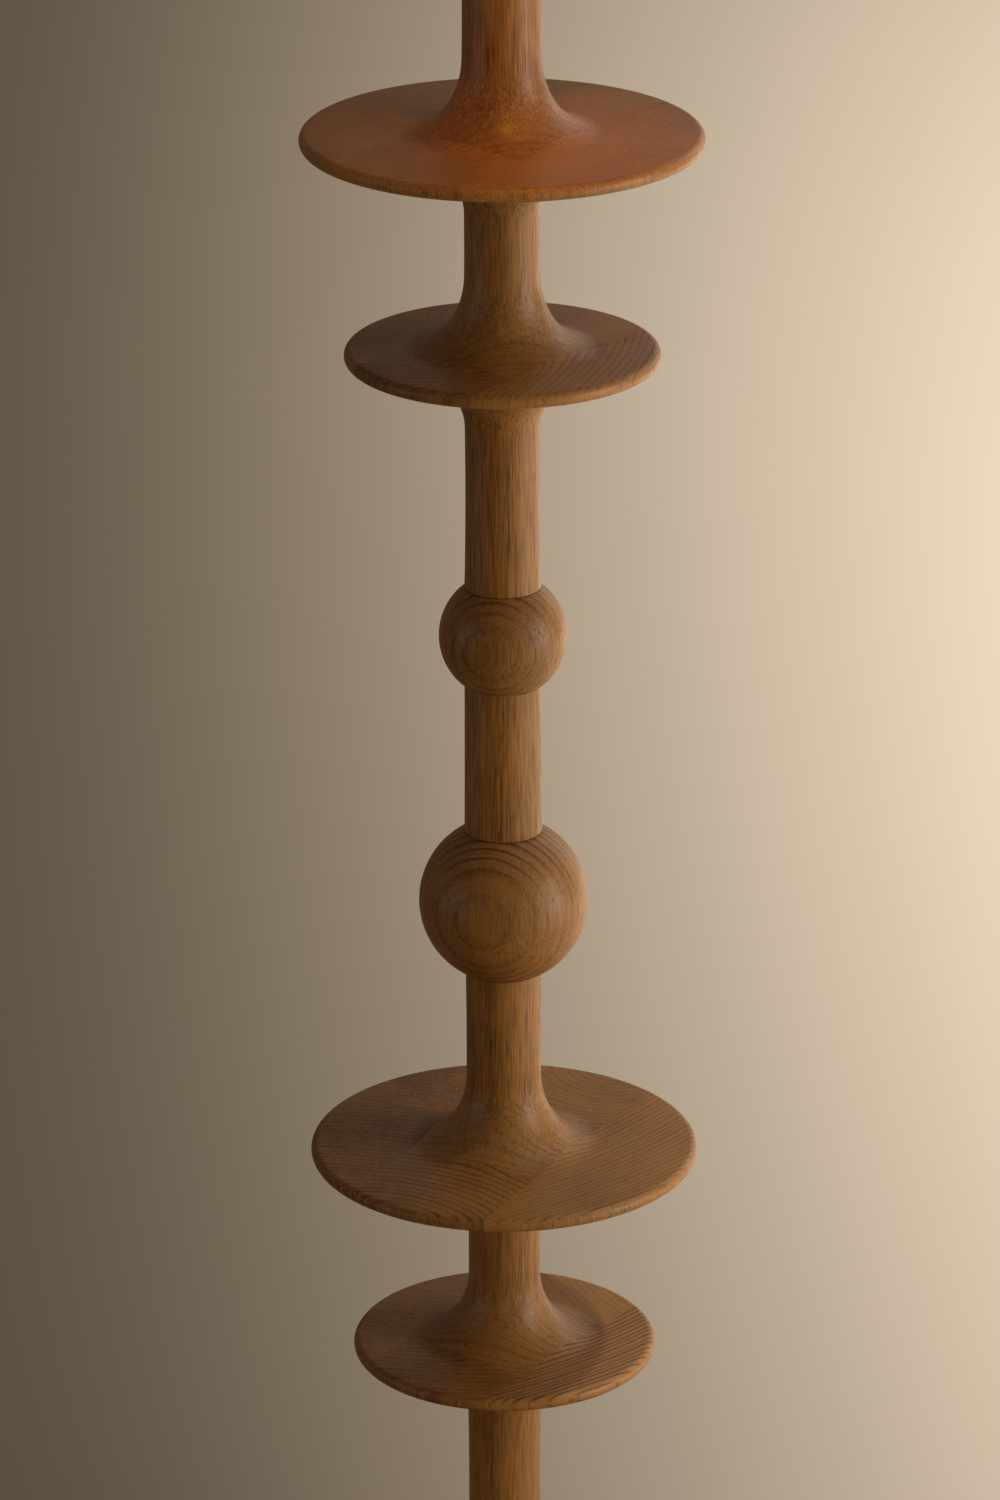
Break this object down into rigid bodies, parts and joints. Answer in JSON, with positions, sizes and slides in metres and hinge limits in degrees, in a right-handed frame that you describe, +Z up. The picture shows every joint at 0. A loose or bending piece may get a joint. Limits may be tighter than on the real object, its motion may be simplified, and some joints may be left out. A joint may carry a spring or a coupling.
{
  "type": "candlestick",
  "caption": "Tall slender turned-oak candlestick: small and large discs, a large and a small ball, discs again, under a ball-shaped cup with a lift-out brass insert.",
  "frame": {"origin": "centre of the felt's underside, on the table", "axes": "+Z up the column; -Y faces the camera of the picture; +X to its right"},
  "size_m": [0.17, 0.17, 0.6585],
  "materials": {
    "oak": "oiled satin oak, grain up the column",
    "oak_wings": "oiled satin oak, end grain on the disc faces",
    "oak_balls": "oiled satin oak",
    "brass": "brushed brass",
    "steel": "plain zinc-plated steel",
    "felt": "pressed wool felt"
  },
  "bodies": {
    "candlestick": {"felt_pad": "felt", "ballast_plate": "steel", "ballast_screw_1": "steel", "ballast_screw_2": "steel", "ballast_screw_3": "steel", "lower_nut": "steel", "lower_washer": "steel", "tie_rod": "steel", "upper_washer": "steel", "upper_nut": "steel", "foot": "oak", "foot_stem": "oak", "lower_small_disc_core": "oak", "lower_small_disc_wing_1": "oak_wings", "lower_small_disc_wing_2": "oak_wings", "lower_small_disc_wing_3": "oak_wings", "lower_small_disc_wing_4": "oak_wings", "lower_neck": "oak", "lower_large_disc_core": "oak", "lower_large_disc_wing_1": "oak_wings", "lower_large_disc_wing_2": "oak_wings", "lower_large_disc_wing_3": "oak_wings", "lower_large_disc_wing_4": "oak_wings", "lower_stem": "oak", "large_ball": "oak_balls", "middle_stem": "oak", "small_ball": "oak_balls", "upper_stem": "oak", "upper_small_disc_core": "oak", "upper_small_disc_wing_1": "oak_wings", "upper_small_disc_wing_2": "oak_wings", "upper_small_disc_wing_3": "oak_wings", "upper_small_disc_wing_4": "oak_wings", "upper_neck": "oak", "upper_large_disc_core": "oak", "upper_large_disc_wing_1": "oak_wings", "upper_large_disc_wing_2": "oak_wings", "upper_large_disc_wing_3": "oak_wings", "upper_large_disc_wing_4": "oak_wings", "top_stem": "oak", "candle_cup": "oak_balls"},
    "insert": {"candle_insert": "brass"}
  },
  "joints": [
    {"name": "insert_lift", "type": "slide", "parent": "candlestick", "child": "insert", "axis": [0, 0, 1], "range_m": [0, 0.04]}
  ]
}
